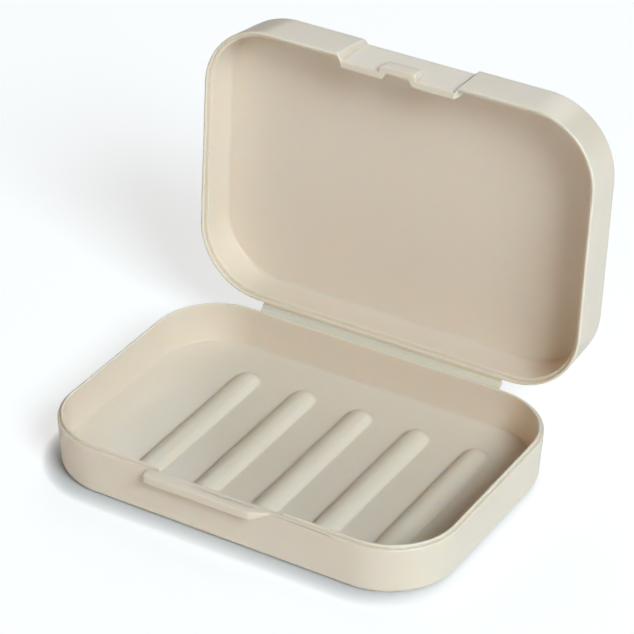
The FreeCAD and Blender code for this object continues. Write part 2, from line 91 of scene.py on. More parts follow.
# Features of the base
FLOOR_Z = 1.5
CREASE_Z = 2.8
CREASE_RADIUS = 0.5
FLOOR_BEND = 0.02
SLOPE_SIDE = 15.3
SLOPE_END = 8.1
FLOOR_END_STRAIGHT = 2.9
RIB_COUNT = 5
RIB_PITCH = 16.6
RIB_HALF_WIDTH = 3.5
RIB_HEIGHT = 2.25
RIB_HALF_LENGTH = 26.3
RIB_SHIFT = 3.5
RIB_BLEND = 0.8
TAB_LEFT = -20.2
TAB_RIGHT = 9.6
TAB_FADE = 4.9
TAB_REACH = 2.35
TAB_HEIGHT = 2.4
TAB_FADE_TAIL = 0.5
TAB_FADE_BEND = 0.08
TAB_END_HEIGHT = 0.5
TAB_RISE_START = 0.2
TAB_TRAIL = 0.12
TAB_TRAIL_LENGTH = 1.2
TIGHT_BEND = 0.1
LIP_GAP_HALF = 17.4
LIP_GAP_STEP = 0.3
LIP_GAP_BEND = 0.3
SCOOP_MIDDLE = 0.4
SCOOP_HALF = 9.4
SCOOP_DEPTH = 0.7
LEAF_REACH = 0.5
LEAF_THICKNESS = 0.8
LEAF_HALF = web_high.x / MM

# Where the base's mesh has lines: up its walls, across a rib, and from its middle to the front and rear
OUTER_WALL_ROWS = (4.0, 7.0, 9.5)
INNER_WALL_ROWS = (12.0, 9.0, 6.0, 4.2)
RIB_LINES = (0.7, 1.4, 1.99, 2.1, 2.6, 2.95, 3.15, 3.3, 3.4, 3.5, 3.6, 3.75, 4.1, 4.8, 6.3)
FLAT_LINES = (0, 4, 8, 12, 15.5, 18.0)
CURVED_LINES = (
    (19.5, 20.5, 21.3, 22.0, 22.81, 23.4, 23.9, 24.3, 24.7, 25.0, 25.3, 25.55)
    + (25.75, 25.95, 26.1, 26.2, 26.3, 26.4, 26.55, 26.8, 27.3, 28.5, 30.2, 32.2)
)
FLOOR_CORNER_STEP = 5

# Features of the lid
SIDE_HEIGHT = 13.0
CROWN = 0.3
CROWN_BEND = 0.06
TOP_SINK = 0.02
SIDE_INSET = 0.33
TOP_RADIUS = 19.2
TOP_EDGE = 0.9
LID_WALL = 1.6
LID_BAND = 0.7
REBATE = 1.0
LID_CREASE = 10.7
LID_CREASE_RADIUS = 0.8
PANEL_DEPTH = 11.5
LID_SLOPE = 13.5
LID_SLOPE_STRAIGHT = 0.45
PANEL_END_STRAIGHT = 7.2
RECESS_HALF = 17.2
RECESS_DEPTH = 1.7
RECESS_TOP_DEPTH = 1.05
RECESS_WALL = 1.85
RECESS_JOG = 0.7
JOG_INSET = 0.3
JOG_WIDTH = 1.1
INNER_JOG_BEND = 0.4
RECESS_FADE_START = 0.6
INNER_FADE_END = 0.3
BOSS_HALF = 5.05
BOSS_HEIGHT = 4.4
BOSS_EDGE = 0.8
BOSS_SIDE_WALL = 1.75
BOSS_FRONT_WALL = 1.75
BOSS_HOLLOW_HEIGHT = 3.1
BOSS_HOLLOW_SLANT = 0.9

# Where the lid's mesh has lines, as shares of its crown and inner slope, depths, and drops below the boss
CROWN_ROWS = (0.0, 0.02, 0.05, 0.09, 0.15, 0.3, 0.5, 0.7, 0.85, 0.95)
SLOPE_ROWS = (0.1, 0.14, 0.2, 0.3, 0.42, 0.54, 0.64, 0.73, 0.81, 0.88, 0.94, 1.0)
ABOVE_BOSS_ROWS = (10.5, 8.5, 6.5, 5.2)
BOSS_ROWS = (-0.05, -0.01, 0.03, 0.06, 0.12, 0.2, 0.32, 0.5, BOSS_EDGE, 1.5, 2.6)
BOSS_HOLLOW_ROWS = (1.5, 2.4, BOSS_HOLLOW_HEIGHT - 0.1)
ABOVE_HOLLOW_ROWS = (BOSS_HOLLOW_HEIGHT, 5.0, 7.0, 9.0)

# Rows of the lid's rear leaf: how far above it, and how much of its reach they have
LEAF_ROWS = ((0.25, 0.0), (0.0, 0.1), (-0.04, 0.7), (-0.15, 1.0))

# The hinge strip, which thins a little in the middle of its bend
STRIP_THICKNESS = 0.4
STRIP_THINNING = 0.05
STRIP_THINNING_POWER = 6
STRIP_STEPS = 24


def ramp(value, start, end, round_off=0.25):
    """0 before start and 1 after end, straight between, with both bends rounded off."""
    t = (value - start) / (end - start)
    k = round_off
    if t <= -k:
        return 0.0
    if t < k:
        return (t + k) ** 2 / (4 * k)
    if t <= 1 - k:
        return t
    if t < 1 + k:
        return 1 - (1 + k - t) ** 2 / (4 * k)
    return 1.0


class Station:
    """A place round the box's outline: on a side, u from -1 to 1 along it, or in a corner at an angle."""

    def __init__(self, side, u=0.0, corner=(0, 0), angle=0.0):
        self.side = side
        self.u = u
        self.corner = corner
        self.angle = angle
        self.x = u * STRAIGHT_X

    def point(self, half_x, half_y, radius):
        if self.side == "corner":
            sx, sy = self.corner
            x = sx * (half_x - radius) + radius * math.cos(self.angle)
            y = sy * (half_y - radius) + radius * math.sin(self.angle)
            return x, y
        if self.side in ("front", "rear"):
            return self.u * (half_x - radius), half_y * (1 if self.side == "rear" else -1)
        return half_x * (1 if self.side == "right" else -1), self.u * (half_y - radius)


def outline(front_x, rear_x):
    """Stations anticlockwise from the front's left end."""
    corner_steps = 26
    side_steps = 8

    def corner(sx, sy, start):
        return [
            Station("corner", corner=(sx, sy), angle=start + math.pi / 2 * i / corner_steps)
            for i in range(corner_steps)
        ]

    def straight(side, places):
        return [Station(side, u=p) for p in places]

    up = [-1 + 2 * i / side_steps for i in range(side_steps)]
    front = [-1] + [x / STRAIGHT_X for x in sorted(front_x)]
    rear = [1] + [x / STRAIGHT_X for x in sorted(rear_x, reverse=True)]
    return (
        straight("front", front)
        + corner(1, -1, -math.pi / 2)
        + straight("right", up)
        + corner(1, 1, 0)
        + straight("rear", rear)
        + corner(-1, 1, math.pi / 2)
        + straight("left", [-u for u in up])
        + corner(-1, -1, math.pi)
    )


def around(middle, offsets):
    return [middle + o for o in offsets] + [middle - o for o in offsets]


def ring(stations, inset, z, leaning=False):
    """A ring of the base. inset and z are numbers, or functions of the station.

    A leaning ring follows the outer wall, which narrows towards the foot. Where inset is a
    function, the points of the front and the rear keep their own x.
    """
    row = []
    for s in stations:
        d = inset(s) if callable(inset) else inset
        height = z(s) if callable(z) else z
        share = max(0.0, 1 - height / BASE_HEIGHT) if leaning else 0.0
        x, y = s.point(
            HALF_LENGTH - BASE_INSET_END * share - d,
            HALF_WIDTH - BASE_INSET_SIDE * share - d,
            CORNER_RADIUS + (FOOT_CORNER - CORNER_RADIUS) * share - d,
        )
        if callable(inset) and s.side in ("front", "rear"):
            x = s.x
        row.append((x, y, height))
    return row


def piece_from(name, points, faces, material):
    """A mesh object from points in millimetres, smooth, with its normals outwards."""
    mesh = bpy.data.meshes.new(name)
    mesh.from_pydata([Vector(p) * MM for p in points], [], faces)
    work = bmesh.new()
    work.from_mesh(mesh)
    bmesh.ops.recalc_face_normals(work, faces=work.faces)
    work.to_mesh(mesh)
    work.free()
    mesh.shade_smooth()
    piece = bpy.data.objects.new(name, mesh)
    bpy.context.scene.collection.objects.link(piece)
    mesh.materials.append(material)
    return piece


def even_shading(piece):
    """Flat faces keep flat shading next to narrow rounded edges."""
    weighted = piece.modifiers.new("even_shading", "WEIGHTED_NORMAL")
    weighted.mode = "FACE_AREA"
    weighted.weight = FLAT_SHADING_WEIGHT
    weighted.keep_sharp = True


def skin(rows, capped=True):
    """Points and quads between rows of equal length, with a face over each end where capped."""
    count = len(rows[0])
    points = [p for row in rows for p in row]
    faces = []
    for i in range(len(rows) - 1):
        a, b = i * count, (i + 1) * count
        for j in range(count):
            k = (j + 1) % count
            faces.append((a + j, a + k, b + k, b + j))
    if capped:
        last = len(points) - count
        faces.append(tuple(range(count)))
        faces.append(tuple(range(last, last + count)))
    return points, faces


# Base: rows round the wall, outside and inside, joined to a dished floor with ribs


def shelf(station):
    """How far the wall's top steps out, and the height of the step's underside."""
    if station.side == "rear":
        inside = ramp(LEAF_HALF - abs(station.x), 0, EDGE)
        return LEAF_REACH * inside, BASE_HEIGHT - LEAF_THICKNESS
    if station.side != "front":
        return 0.0, BASE_HEIGHT - TAB_HEIGHT
    x = station.x
    left_end = ramp(x, TAB_LEFT, TAB_LEFT + EDGE)
    tab_end = TAB_RIGHT + TAB_FADE
    right_end = 1 - ramp(x, TAB_RIGHT, tab_end - TAB_FADE_TAIL, TAB_FADE_BEND)
    trail = TAB_TRAIL * (1 - ramp(x, tab_end - TAB_TRAIL_LENGTH, tab_end, TIGHT_BEND)) * (x > 0)
    reach = TAB_REACH * left_end * max(right_end, 0) + trail * (1 - right_end)
    rise_share = ramp(x, TAB_RIGHT + TAB_RISE_START, tab_end, TIGHT_BEND)
    rise = (TAB_HEIGHT - TAB_END_HEIGHT) * rise_share
    return reach, BASE_HEIGHT - TAB_HEIGHT + rise


def gap_weight(station):
    """1 where the lip is left out, 0 where it stands."""
    if station.side != "front":
        return 0.0
    return ramp(LIP_GAP_HALF - abs(station.x), 0, LIP_GAP_STEP, LIP_GAP_BEND)


def scoop(station):
    """Depth of the shallow scoop behind the tab."""
    t = (station.x - SCOOP_MIDDLE) / SCOOP_HALF
    if station.side != "front" or abs(t) >= 1:
        return 0.0
    return SCOOP_DEPTH * (1 - t * t)


def mixed(plain, open_state):
    """A size that is plain where the lip stands, and open_state in its gap."""

    def value(station):
        weight = gap_weight(station)
        return plain * (1 - weight) + open_state(station) * weight

    return value


def base_wall_rows(stations):
    top = BASE_HEIGHT
    margin = 0.1
    below_step = 0.15
    rows = [ring(stations, FOOT_RADIUS + margin, 0.0, True)]
    foot_steps = 10
    for i in range(foot_steps + 1):
        turn = math.pi / 2 * i / foot_steps
        inset = FOOT_RADIUS * (1 - math.sin(turn))
        rows.append(ring(stations, inset, FOOT_RADIUS * (1 - math.cos(turn)), True))
    for z in OUTER_WALL_ROWS:
        rows.append(ring(stations, 0.0, z, True))

    def step(out, up, from_top):
        """A row of the step: out is 1 at its face, up is measured from its underside or its top."""

        def height(s):
            _, under = shelf(s)
            return top - up if from_top else under + up

        def inset(s):
            reach, _ = shelf(s)
            corner = EDGE - out
            return (corner if from_top else min(corner, reach)) - reach

        return ring(stations, inset, height, True)

    rows.append(ring(stations, lambda s: 0.0, lambda s: shelf(s)[1] - below_step, True))
    rows.append(step(0.0, 0.0, False))
    rows.append(step(FAR * EDGE, NEAR * EDGE, False))
    rows.append(step(EDGE, EDGE, False))
    rows.append(step(EDGE, EDGE, True))
    rows.append(step(FAR * EDGE, NEAR * EDGE, True))
    rows.append(step(0.0, 0.0, True))

    # The top: ledge and lip, or in the lip's gap a flat top with the scoop in it.
    # Ledge: inset where the lip stands, inset in its gap, share of the scoop's depth.
    flat = [
        (0.45, -0.65, 0.0),
        (0.55, -0.45, 0.0),
        (0.62, -0.25, 1.0),
        (0.70, 0.55, 1.0),
        (0.78, 0.75, 0.0),
    ]
    for plain, in_gap, dip in flat:
        rows.append(
            ring(
                stations,
                mixed(plain, lambda s, v=in_gap: max(v, EDGE + margin - shelf(s)[0])),
                mixed(top, lambda s, v=dip: top - v * scoop(s)),
            )
        )
    ledge, wall, lip = BASE_LEDGE, BASE_WALL, LIP_TOP
    # Lip: inset and height where it stands, then inset and height in its gap.
    lip_rows = [
        (ledge, top + 0.02, 0.82, top),
        (ledge, lip - LIP_EDGE, 0.9, top),
        (ledge + NEAR * LIP_EDGE, lip - NEAR * LIP_EDGE, 0.98, top),
        (ledge + LIP_EDGE, lip, 1.06, top),
        (wall - LIP_EDGE, lip, wall - EDGE, top),
        (wall - NEAR * LIP_EDGE, lip - NEAR * LIP_EDGE, wall - NEAR * EDGE, top - NEAR * EDGE),
        (wall, lip - LIP_EDGE, wall, top - EDGE),
    ]
    for inset, z, open_inset, open_z in lip_rows:
        rows.append(
            ring(
                stations,
                mixed(inset, lambda s, v=open_inset: v),
                mixed(z, lambda s, v=open_z: v),
            )
        )
    for z in INNER_WALL_ROWS:
        rows.append(ring(stations, wall, z))

    crease_steps = 8
    for i in range(crease_steps + 1):
        turn = math.pi / 2 * i / crease_steps
        inset = wall + CREASE_RADIUS * (1 - math.cos(turn))
        rows.append(on_floor(ring(stations, inset, 0.0), CREASE_RADIUS * (1 - math.sin(turn))))
    return rows


def on_floor(row, above):
    """The row's points at a height above the floor's surface."""
    xs, ys, _ = np.array(row).T
    return [(x, y, z + above) for (x, y, _), z in zip(row, floor_height(xs, ys))]


def outside_by(x, y, half_x, half_y, radius):
    """Signed distance of points from a rounded rectangle: below 0 inside."""
    qx = np.abs(x) - (half_x - radius)
    qy = np.abs(y) - (half_y - radius)
    outer = np.hypot(np.maximum(qx, 0), np.maximum(qy, 0))
    return outer + np.minimum(np.maximum(qx, qy), 0) - radius


def slope_share(x, y):
    """0 on the flat floor's outline and 1 at the wall, between the two outlines."""
    wall_x, wall_y = HALF_LENGTH - BASE_WALL, HALF_WIDTH - BASE_WALL
    floor_x, floor_y = wall_x - SLOPE_END, wall_y - SLOPE_SIDE
    wall_r = CORNER_RADIUS - BASE_WALL
    floor_r = floor_y - FLOOR_END_STRAIGHT / 2
    lowest, highest, halvings = -0.3, 1.3, 30
    low = np.full(x.shape, lowest)
    high = np.full(x.shape, highest)
    for _ in range(halvings):
        s = (low + high) / 2
        inside = (
            outside_by(
                x,
                y,
                floor_x + (wall_x - floor_x) * s,
                floor_y + (wall_y - floor_y) * s,
                floor_r + (wall_r - floor_r) * s,
            )
            < 0
        )
        high = np.where(inside, s, high)
        low = np.where(inside, low, s)
    return (low + high) / 2


def smooth_max(a, b, width):
    overlap = np.maximum(width - np.abs(a - b), 0) / width
    return np.maximum(a, b) + overlap * overlap * width / 4


def rib_middles():
    first = RIB_SHIFT - RIB_PITCH * (RIB_COUNT - 1) / 2
    return [first + RIB_PITCH * i for i in range(RIB_COUNT)]


def floor_height(x, y):
    share = slope_share(x, y)
    soft = FLOOR_BEND
    rise = np.where(
        share < -soft, 0, np.where(share < soft, (share + soft) ** 2 / (4 * soft), share)
    )
    height = FLOOR_Z + (CREASE_Z - FLOOR_Z) * rise
    arch = (RIB_HALF_WIDTH**2 + RIB_HEIGHT**2) / (2 * RIB_HEIGHT)
    arch_z = FLOOR_Z + RIB_HEIGHT - arch
    for middle in rib_middles():
        past = np.maximum(np.abs(y) - (RIB_HALF_LENGTH - RIB_HALF_WIDTH), 0)
        away = np.hypot(x - middle, past)
        rib = arch_z + np.sqrt(np.maximum(arch**2 - away**2, 0))
        height = smooth_max(height, rib, RIB_BLEND)
    return height


def hollow_height(x, y):
    """Underside: flat, with a groove under each rib."""
    slack = 0.01
    height = np.zeros(x.shape)
    for middle in rib_middles():
        in_groove = np.abs(x - middle) < RIB_HALF_WIDTH - FLOOR_Z + slack
        in_length = np.abs(y) < RIB_HALF_LENGTH - RIB_HALF_WIDTH + slack
        height = np.where(in_groove & in_length, RIB_HEIGHT, height)
    return height


def floor_grid():
    """Points and faces of the floor's two sides, and the outer points of one side, anticlockwise."""
    past_crease = 0.2
    inset = BASE_WALL + CREASE_RADIUS + past_crease
    edge_x = HALF_LENGTH - inset
    edge_y = HALF_WIDTH - inset
    radius = CORNER_RADIUS - inset
    turns = [math.radians(a) for a in range(0, 90, FLOOR_CORNER_STEP)]
    bends = [edge_x - radius * (1 - math.cos(turn)) for turn in turns]
    lines = [0.0, RIB_PITCH / 2 + RIB_SHIFT] + bends + [-x for x in bends]
    for middle in rib_middles():
        lines += [middle] + around(middle, RIB_LINES)
    xs = np.array(separate(lines))
    bound = FLAT_LINES[-1]
    shares = [(s - bound) / (edge_y - bound) for s in CURVED_LINES] + [1.0]
    reach = np.maximum(np.abs(xs) - (edge_x - radius), 0)
    far = edge_y - radius + np.sqrt(np.maximum(radius**2 - reach**2, 0))
    rows = [np.full(xs.shape, float(f)) for f in FLAT_LINES]
    rows += [bound + s * (far - bound) for s in shares]
    ys = np.array([-r for r in reversed(rows[1:])] + rows)
    grid_x = np.broadcast_to(xs, ys.shape)
    count_y, count_x = ys.shape
    points = []
    for height in (floor_height(grid_x, ys), hollow_height(grid_x, ys)):
        points += list(zip(grid_x.ravel().tolist(), ys.ravel().tolist(), height.ravel().tolist()))
    layer = count_x * count_y
    faces = []
    for j in range(count_y - 1):
        for i in range(count_x - 1):
            a = j * count_x + i
            for b in (a, a + layer):
                faces.append((b, b + 1, b + 1 + count_x, b + count_x))
    border = list(range(count_x))
    border += [j * count_x + count_x - 1 for j in range(1, count_y)]
    border += [(count_y - 1) * count_x + i for i in range(count_x - 2, -1, -1)]
    border += [j * count_x for j in range(count_y - 2, 0, -1)]
    return points, faces, border, layer


def joined(points, first, second):
    """Triangles between two closed loops of points that run the same way round."""

    def apart(a, b):
        return math.dist(points[a], points[b])

    nearest = min(range(len(second)), key=lambda k: apart(first[0], second[k]))
    second = second[nearest:] + second[:nearest]
    first, second = first + first[:1], second + second[:1]
    faces = []
    i = j = 0
    while i < len(first) - 1 or j < len(second) - 1:
        first_ends = i == len(first) - 1
        second_ends = j == len(second) - 1
        if second_ends or (
            not first_ends
            and apart(first[i + 1], second[j]) < apart(first[i], second[j + 1])
        ):
            faces.append((first[i], first[i + 1], second[j]))
            i += 1
        else:
            faces.append((first[i], second[j + 1], second[j]))
            j += 1
    return faces


def base_tray(material):
    # Lines along the front at the lip's gap, the tab and the scoop, and along the rear at the leaf
    front = around(0, (3, 6, 12, 14, 16, LIP_GAP_HALF - 0.45, LIP_GAP_HALF - 0.3))
    front += around(0, (LIP_GAP_HALF - 0.2, LIP_GAP_HALF - 0.1, LIP_GAP_HALF, LIP_GAP_HALF + 0.1))
    front += [TAB_LEFT + o for o in (-1.5, -0.06, 0, 0.05, 0.1, 0.15, 0.2, 0.26, 0.5)]
    front += [TAB_RIGHT + o for o in (-0.8, -0.4, -0.2, 0, 0.2, 0.4, 0.8, 1.6, 2.4, 3.2)]
    front += [TAB_RIGHT + o for o in (3.8, 4.2, 4.4, 4.6, 4.8, 5.0, 5.3, 5.8, 6.5)]
    front += [SCOOP_MIDDLE + SCOOP_HALF * t / 10 for t in range(-10, 11)]
    front += around(0, (24, 30)) + [0]
    rear = around(0, (LEAF_HALF + 0.1, LEAF_HALF, LEAF_HALF - 0.1, LEAF_HALF - 0.2))
    rear += around(0, (10, 20, 30, LEAF_HALF - 0.3)) + [0]
    stations = outline(separate(front), separate(rear))
    points, faces = skin(base_wall_rows(stations), capped=False)
    floor_points, floor_faces, border, layer = floor_grid()
    shift = len(points)
    foot, crease = list(range(len(stations))), list(range(shift - len(stations), shift))
    points += floor_points
    faces += [tuple(v + shift for v in face) for face in floor_faces]
    faces += joined(points, crease, [v + shift for v in border])
    faces += joined(points, foot, [v + shift + layer for v in border])
    tray = piece_from("tray_shell", points, faces, material)
    even_shading(tray)
    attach(tray, "base")
    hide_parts("base_tray")


def separate(places, least=0.03):
    """The places in order, without those that nearly repeat one before."""
    kept = []
    for place in sorted(places):
        if not kept or place - kept[-1] > least:
            kept.append(place)
    return kept


# Lid: drawn closed, as depth from its rim, and turned open about the hinge


def opened(x, y, depth):
    """A point of the closed lid, where it is with the lid open as in the photo."""
    side, rise = y - HINGE_Y, RIM_OFFSET + depth
    cos, sin = math.cos(OPEN_ANGLE), math.sin(OPEN_ANGLE)
    return x, HINGE_Y + side * cos + rise * sin, HINGE_Z - side * sin + rise * cos


def recess_weight(station):
    if station.side != "front":
        return 0.0
    return ramp(RECESS_HALF - JOG_INSET - abs(station.x), 0, JOG_WIDTH)


def inner_weight(station):
    """As recess_weight, for the wall's inner face, whose jogs lie further out."""
    if station.side != "front":
        return 0.0
    return ramp(RECESS_HALF + RECESS_JOG - abs(station.x), 0, RECESS_DEPTH, INNER_JOG_BEND)


def boss_share(inside):
    """How far the boss stands out of the recess, from 0 to 1, at a distance inside its edge."""
    foot = 1 - BOSS_EDGE / RECESS_DEPTH
    foot_start, foot_end = -0.05, 0.03
    if inside < foot_end:
        return foot * ramp(inside, foot_start, foot_end)
    t = BOSS_EDGE - min(inside, BOSS_EDGE)
    return 1 - (BOSS_EDGE - math.sqrt(BOSS_EDGE**2 - t * t)) / RECESS_DEPTH


def boss_weight(station):
    if station.side != "front":
        return 0.0
    return boss_share(BOSS_HALF - abs(station.x))


def hollow_weight(station):
    if station.side != "front":
        return 0.0
    narrow = BOSS_HALF - BOSS_SIDE_WALL
    return ramp(abs(station.x), narrow + BOSS_HOLLOW_SLANT, narrow)


def lid_rows(stations):
    panel_x = HALF_LENGTH - LID_WALL - LID_SLOPE
    panel_y = HALF_WIDTH - LID_WALL - LID_SLOPE
    panel_r = panel_y - PANEL_END_STRAIGHT / 2
    hollow_reach = RECESS_DEPTH + RECESS_WALL - BOSS_FRONT_WALL
    rows = []

    def lean(z):
        return SIDE_INSET * z / SIDE_HEIGHT

    def side_radius(z):
        return CORNER_RADIUS + (TOP_RADIUS - CORNER_RADIUS + SIDE_INSET) * z / SIDE_HEIGHT

    def recess_depth(z):
        return RECESS_DEPTH + (RECESS_TOP_DEPTH - RECESS_DEPTH) * z / (SIDE_HEIGHT + CROWN)

    def shaped(half_x, half_y, radius, z, push=None):
        """A ring of its own outline. push moves its front inwards."""
        row = []
        for s in stations:
            x, y = s.point(half_x, half_y, radius)
            if push and s.side == "front":
                y += push(s)
            row.append(opened(x, y, z))
        rows.append(row)

    def wall(inset, z, push=None):
        shaped(
            HALF_LENGTH - inset, HALF_WIDTH - inset, side_radius(z) - inset, z, push
        )

    # Crowned top, from its flat middle to the rounded edge
    edge_inset = SIDE_INSET + TOP_EDGE
    top_z = SIDE_HEIGHT - TOP_SINK
    edge_z = top_z - TOP_EDGE
    outer_x, outer_y = HALF_LENGTH - edge_inset, HALF_WIDTH - edge_inset
    for share in CROWN_ROWS:
        soft = share - CROWN_BEND
        if share < 2 * CROWN_BEND:
            soft = share**2 / (4 * CROWN_BEND)
        z = top_z + CROWN * (1 - soft / (1 - CROWN_BEND))
        fade = max(0.0, (share - RECESS_FADE_START) / (1 - RECESS_FADE_START)) ** 2
        shaped(
            panel_x + (outer_x - panel_x) * share,
            panel_y + (outer_y - panel_y) * share,
            panel_r + (TOP_RADIUS - TOP_EDGE - panel_r) * share,
            z,
            lambda s, f=fade, z=z: recess_depth(z) * recess_weight(s) * f,
        )
    edge_steps = 8
    first_turn, sweep = math.radians(4), math.radians(85)
    for i in range(edge_steps + 1):
        turn = first_turn + sweep * i / edge_steps
        inset = edge_inset - TOP_EDGE * math.sin(turn)
        z = edge_z + TOP_EDGE * math.cos(turn)
        shaped(
            HALF_LENGTH - inset,
            HALF_WIDTH - inset,
            TOP_RADIUS + SIDE_INSET - inset,
            z,
            lambda s, z=z: recess_depth(z) * recess_weight(s),
        )

    def boss_push(z, share):
        return lambda s: recess_depth(z) * recess_weight(s) * (1 - share * boss_weight(s))

    for z in ABOVE_BOSS_ROWS:
        wall(lean(z), z, boss_push(z, 0.0))
    for drop in BOSS_ROWS:
        z = BOSS_HEIGHT - drop
        wall(lean(z), z, boss_push(z, boss_share(drop)))

    # The rear leaf, then the rim's outer edge
    def outer_side(z, out, extra_inset=0.0):
        push = boss_push(z, 1.0)
        inset = lean(z) + extra_inset
        row = []
        for s in stations:
            x, y = s.point(HALF_LENGTH - inset, HALF_WIDTH - inset, side_radius(z) - inset)
            if s.side == "front":
                y += push(s)
            if s.side == "rear":
                y += out * LEAF_REACH * ramp(LEAF_HALF - abs(s.x), 0, EDGE)
            row.append(opened(x, y, z))
        rows.append(row)

    for above, out in LEAF_ROWS:
        outer_side(LEAF_THICKNESS + above, out)
    outer_side(EDGE, 1.0)
    outer_side(NEAR * EDGE, 1.0, NEAR * EDGE)
    outer_side(0.0, 1.0, EDGE)

    # Rim band, rebate and inner edge; in the recess the rim is one flat band instead.
    # Inset and height, then in the recess the share of the wall's thickness and the height.
    rim = [
        (0.35, 0.0, 0.2, 0.0),
        (LID_BAND - 0.1, 0.0, 0.32, 0.0),
        (LID_BAND - 0.03, 0.03, 0.42, 0.0),
        (LID_BAND, 0.12, 0.52, 0.0),
        (LID_BAND, REBATE - 0.05, 0.62, 0.0),
        (LID_BAND + 0.05, REBATE, 0.72, 0.0),
        (LID_WALL - 0.15, REBATE, 1 - 0.2 / RECESS_WALL, 0.0),
        (LID_WALL - 0.04, REBATE + 0.04, 1 - 0.06 / RECESS_WALL, 0.06),
        (LID_WALL, REBATE + 0.15, 1.0, 0.2),
    ]
    for inset, z, share, flat_z in rim:
        row = []
        for s in stations:
            weight = recess_weight(s)
            moved = inner_weight(s) if inset > LID_WALL - 0.1 else weight
            outer = RECESS_DEPTH * (1 - boss_weight(s))
            inner = RECESS_DEPTH + RECESS_WALL - hollow_reach * hollow_weight(s)
            flat_inset = outer + share * (inner - outer)
            x, y = s.point(HALF_LENGTH - inset, HALF_WIDTH - inset, CORNER_RADIUS - inset)
            if moved > 0:
                y = -HALF_WIDTH + inset * (1 - moved) + flat_inset * moved
            row.append(opened(x, y, z * (1 - weight) + flat_z * weight))
        rows.append(row)

    step_in = RECESS_DEPTH + RECESS_WALL - LID_WALL

    def inner_push(hollow, fade=1.0):
        return lambda s: fade * (
            step_in * inner_weight(s) - hollow_reach * hollow * hollow_weight(s)
        )

    def inner_wall(inset, z, hollow):
        shaped(
            HALF_LENGTH - inset,
            HALF_WIDTH - inset,
            CORNER_RADIUS - inset,
            z,
            inner_push(hollow),
        )

    for z in BOSS_HOLLOW_ROWS:
        inner_wall(LID_WALL, z, 1.0)
    for z in ABOVE_HOLLOW_ROWS:
        inner_wall(LID_WALL, z, 0.0)
    crease_x, crease_y = HALF_LENGTH - LID_WALL, HALF_WIDTH - LID_WALL
    crease_r = CORNER_RADIUS - LID_WALL

    def slope_z(share):
        bend = 1 - LID_SLOPE_STRAIGHT
        past = max(0.0, share - LID_SLOPE_STRAIGHT)
        soft = share - past * past / (2 * bend)
        return LID_CREASE + (PANEL_DEPTH - LID_CREASE) * soft / (1 - bend / 2)

    crease_steps = 7
    crease_sweep = math.radians(86)
    for i in range(crease_steps + 1):
        turn = crease_sweep * i / crease_steps
        out = LID_CREASE_RADIUS * (1 - math.cos(turn))
        z = slope_z(out / LID_SLOPE) - LID_CREASE_RADIUS * (1 - math.sin(turn))
        inner_wall(LID_WALL + out, z, 0.0)
    for share in SLOPE_ROWS:
        z = slope_z(share)
        fade = max(0.0, 1 - share / INNER_FADE_END)
        shaped(
            crease_x + (panel_x - crease_x) * share,
            crease_y + (panel_y - crease_y) * share,
            crease_r + (panel_r - crease_r) * share,
            z,
            inner_push(0.0, fade),
        )
    return rows


def lid(material):
    # Lines along the front at the recess's ends and the boss, and along the rear at the leaf
    half, slant = RECESS_HALF, RECESS_DEPTH
    front = around(0, [half - slant * t / 10 for t in range(-9, 16)])
    front += around(0, (half + 2.2, half + 4, 28, half - slant - 1.4, 11, 8))
    front += around(0, [BOSS_HALF - t for t in (-0.5, -0.1, -0.05, -0.01, 0.03, 0.07, 0.12, 0.2)])
    front += around(0, [BOSS_HALF - t for t in (0.3, 0.4, 0.55, 0.68, 0.8, 0.9, 1.05, 1.2, 1.35)])
    front += around(0, [BOSS_HALF - t for t in (1.5, 1.65, 1.8, 1.95, 2.1, 3.4)]) + [0]
    rear = around(0, (LEAF_HALF + 0.1, LEAF_HALF, LEAF_HALF - 0.1, LEAF_HALF - 0.2))
    rear += around(0, (10, 20, 30, LEAF_HALF - 0.3)) + [0]
    stations = outline(separate(front), separate(rear))
    points, faces = skin(lid_rows(stations))
    cover = piece_from("lid_shell", points, faces, material)
    even_shading(cover)
    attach(cover, "cover")
    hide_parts("lid")


# Hinge strip: a thin curved strip between the two leaves, bent to the lid's open angle


def hinge_strip(material):
    thickness = STRIP_THICKNESS
    steps = STRIP_STEPS
    reach = HINGE_Y - HALF_WIDTH - LEAF_REACH
    turn = math.pi - OPEN_ANGLE
    line = RIM_OFFSET + thickness / 2
    radius = (reach + line * math.tan(turn / 2)) / math.tan(turn / 2)
    middle_y = HINGE_Y - reach
    middle_z = HINGE_Z - line + radius
    across = []
    for i in range(steps + 1):
        angle = -math.pi / 2 + turn * i / steps
        thin = STRIP_THINNING * math.sin(math.pi * i / steps) ** STRIP_THINNING_POWER
        across.append((angle, radius - thickness / 2 + thin, radius + thickness / 2 - thin))
    section = [
        (middle_y + inner * math.cos(a), middle_z + inner * math.sin(a)) for a, inner, _ in across
    ]
    section += [
        (middle_y + outer * math.cos(a), middle_z + outer * math.sin(a))
        for a, _, outer in reversed(across)
    ]
    places = [-LEAF_HALF, -LEAF_HALF + 0.1, -20, 0, 20, LEAF_HALF - 0.1, LEAF_HALF]
    rows = [[(x, y, z) for y, z in section] for x in places]
    points, faces = skin(rows)
    strip = piece_from("hinge_strip", points, faces, material)
    even_shading(strip)
    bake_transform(strip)
    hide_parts("living_hinge")


# Materials

CREAM_DARKER = (0.790, 0.690, 0.570, 1)
CREAM_LIGHTER = (0.808, 0.708, 0.588, 1)
SCATTER_COLOURS = (1.0, 0.8, 0.6)
SCATTER_METRES = 0.0014
PLASTIC_IOR = 1.49
FLOOR_SEEN = 0.5
FLOOR_LIT = 0.92
FLOOR_LIFT = 0.62

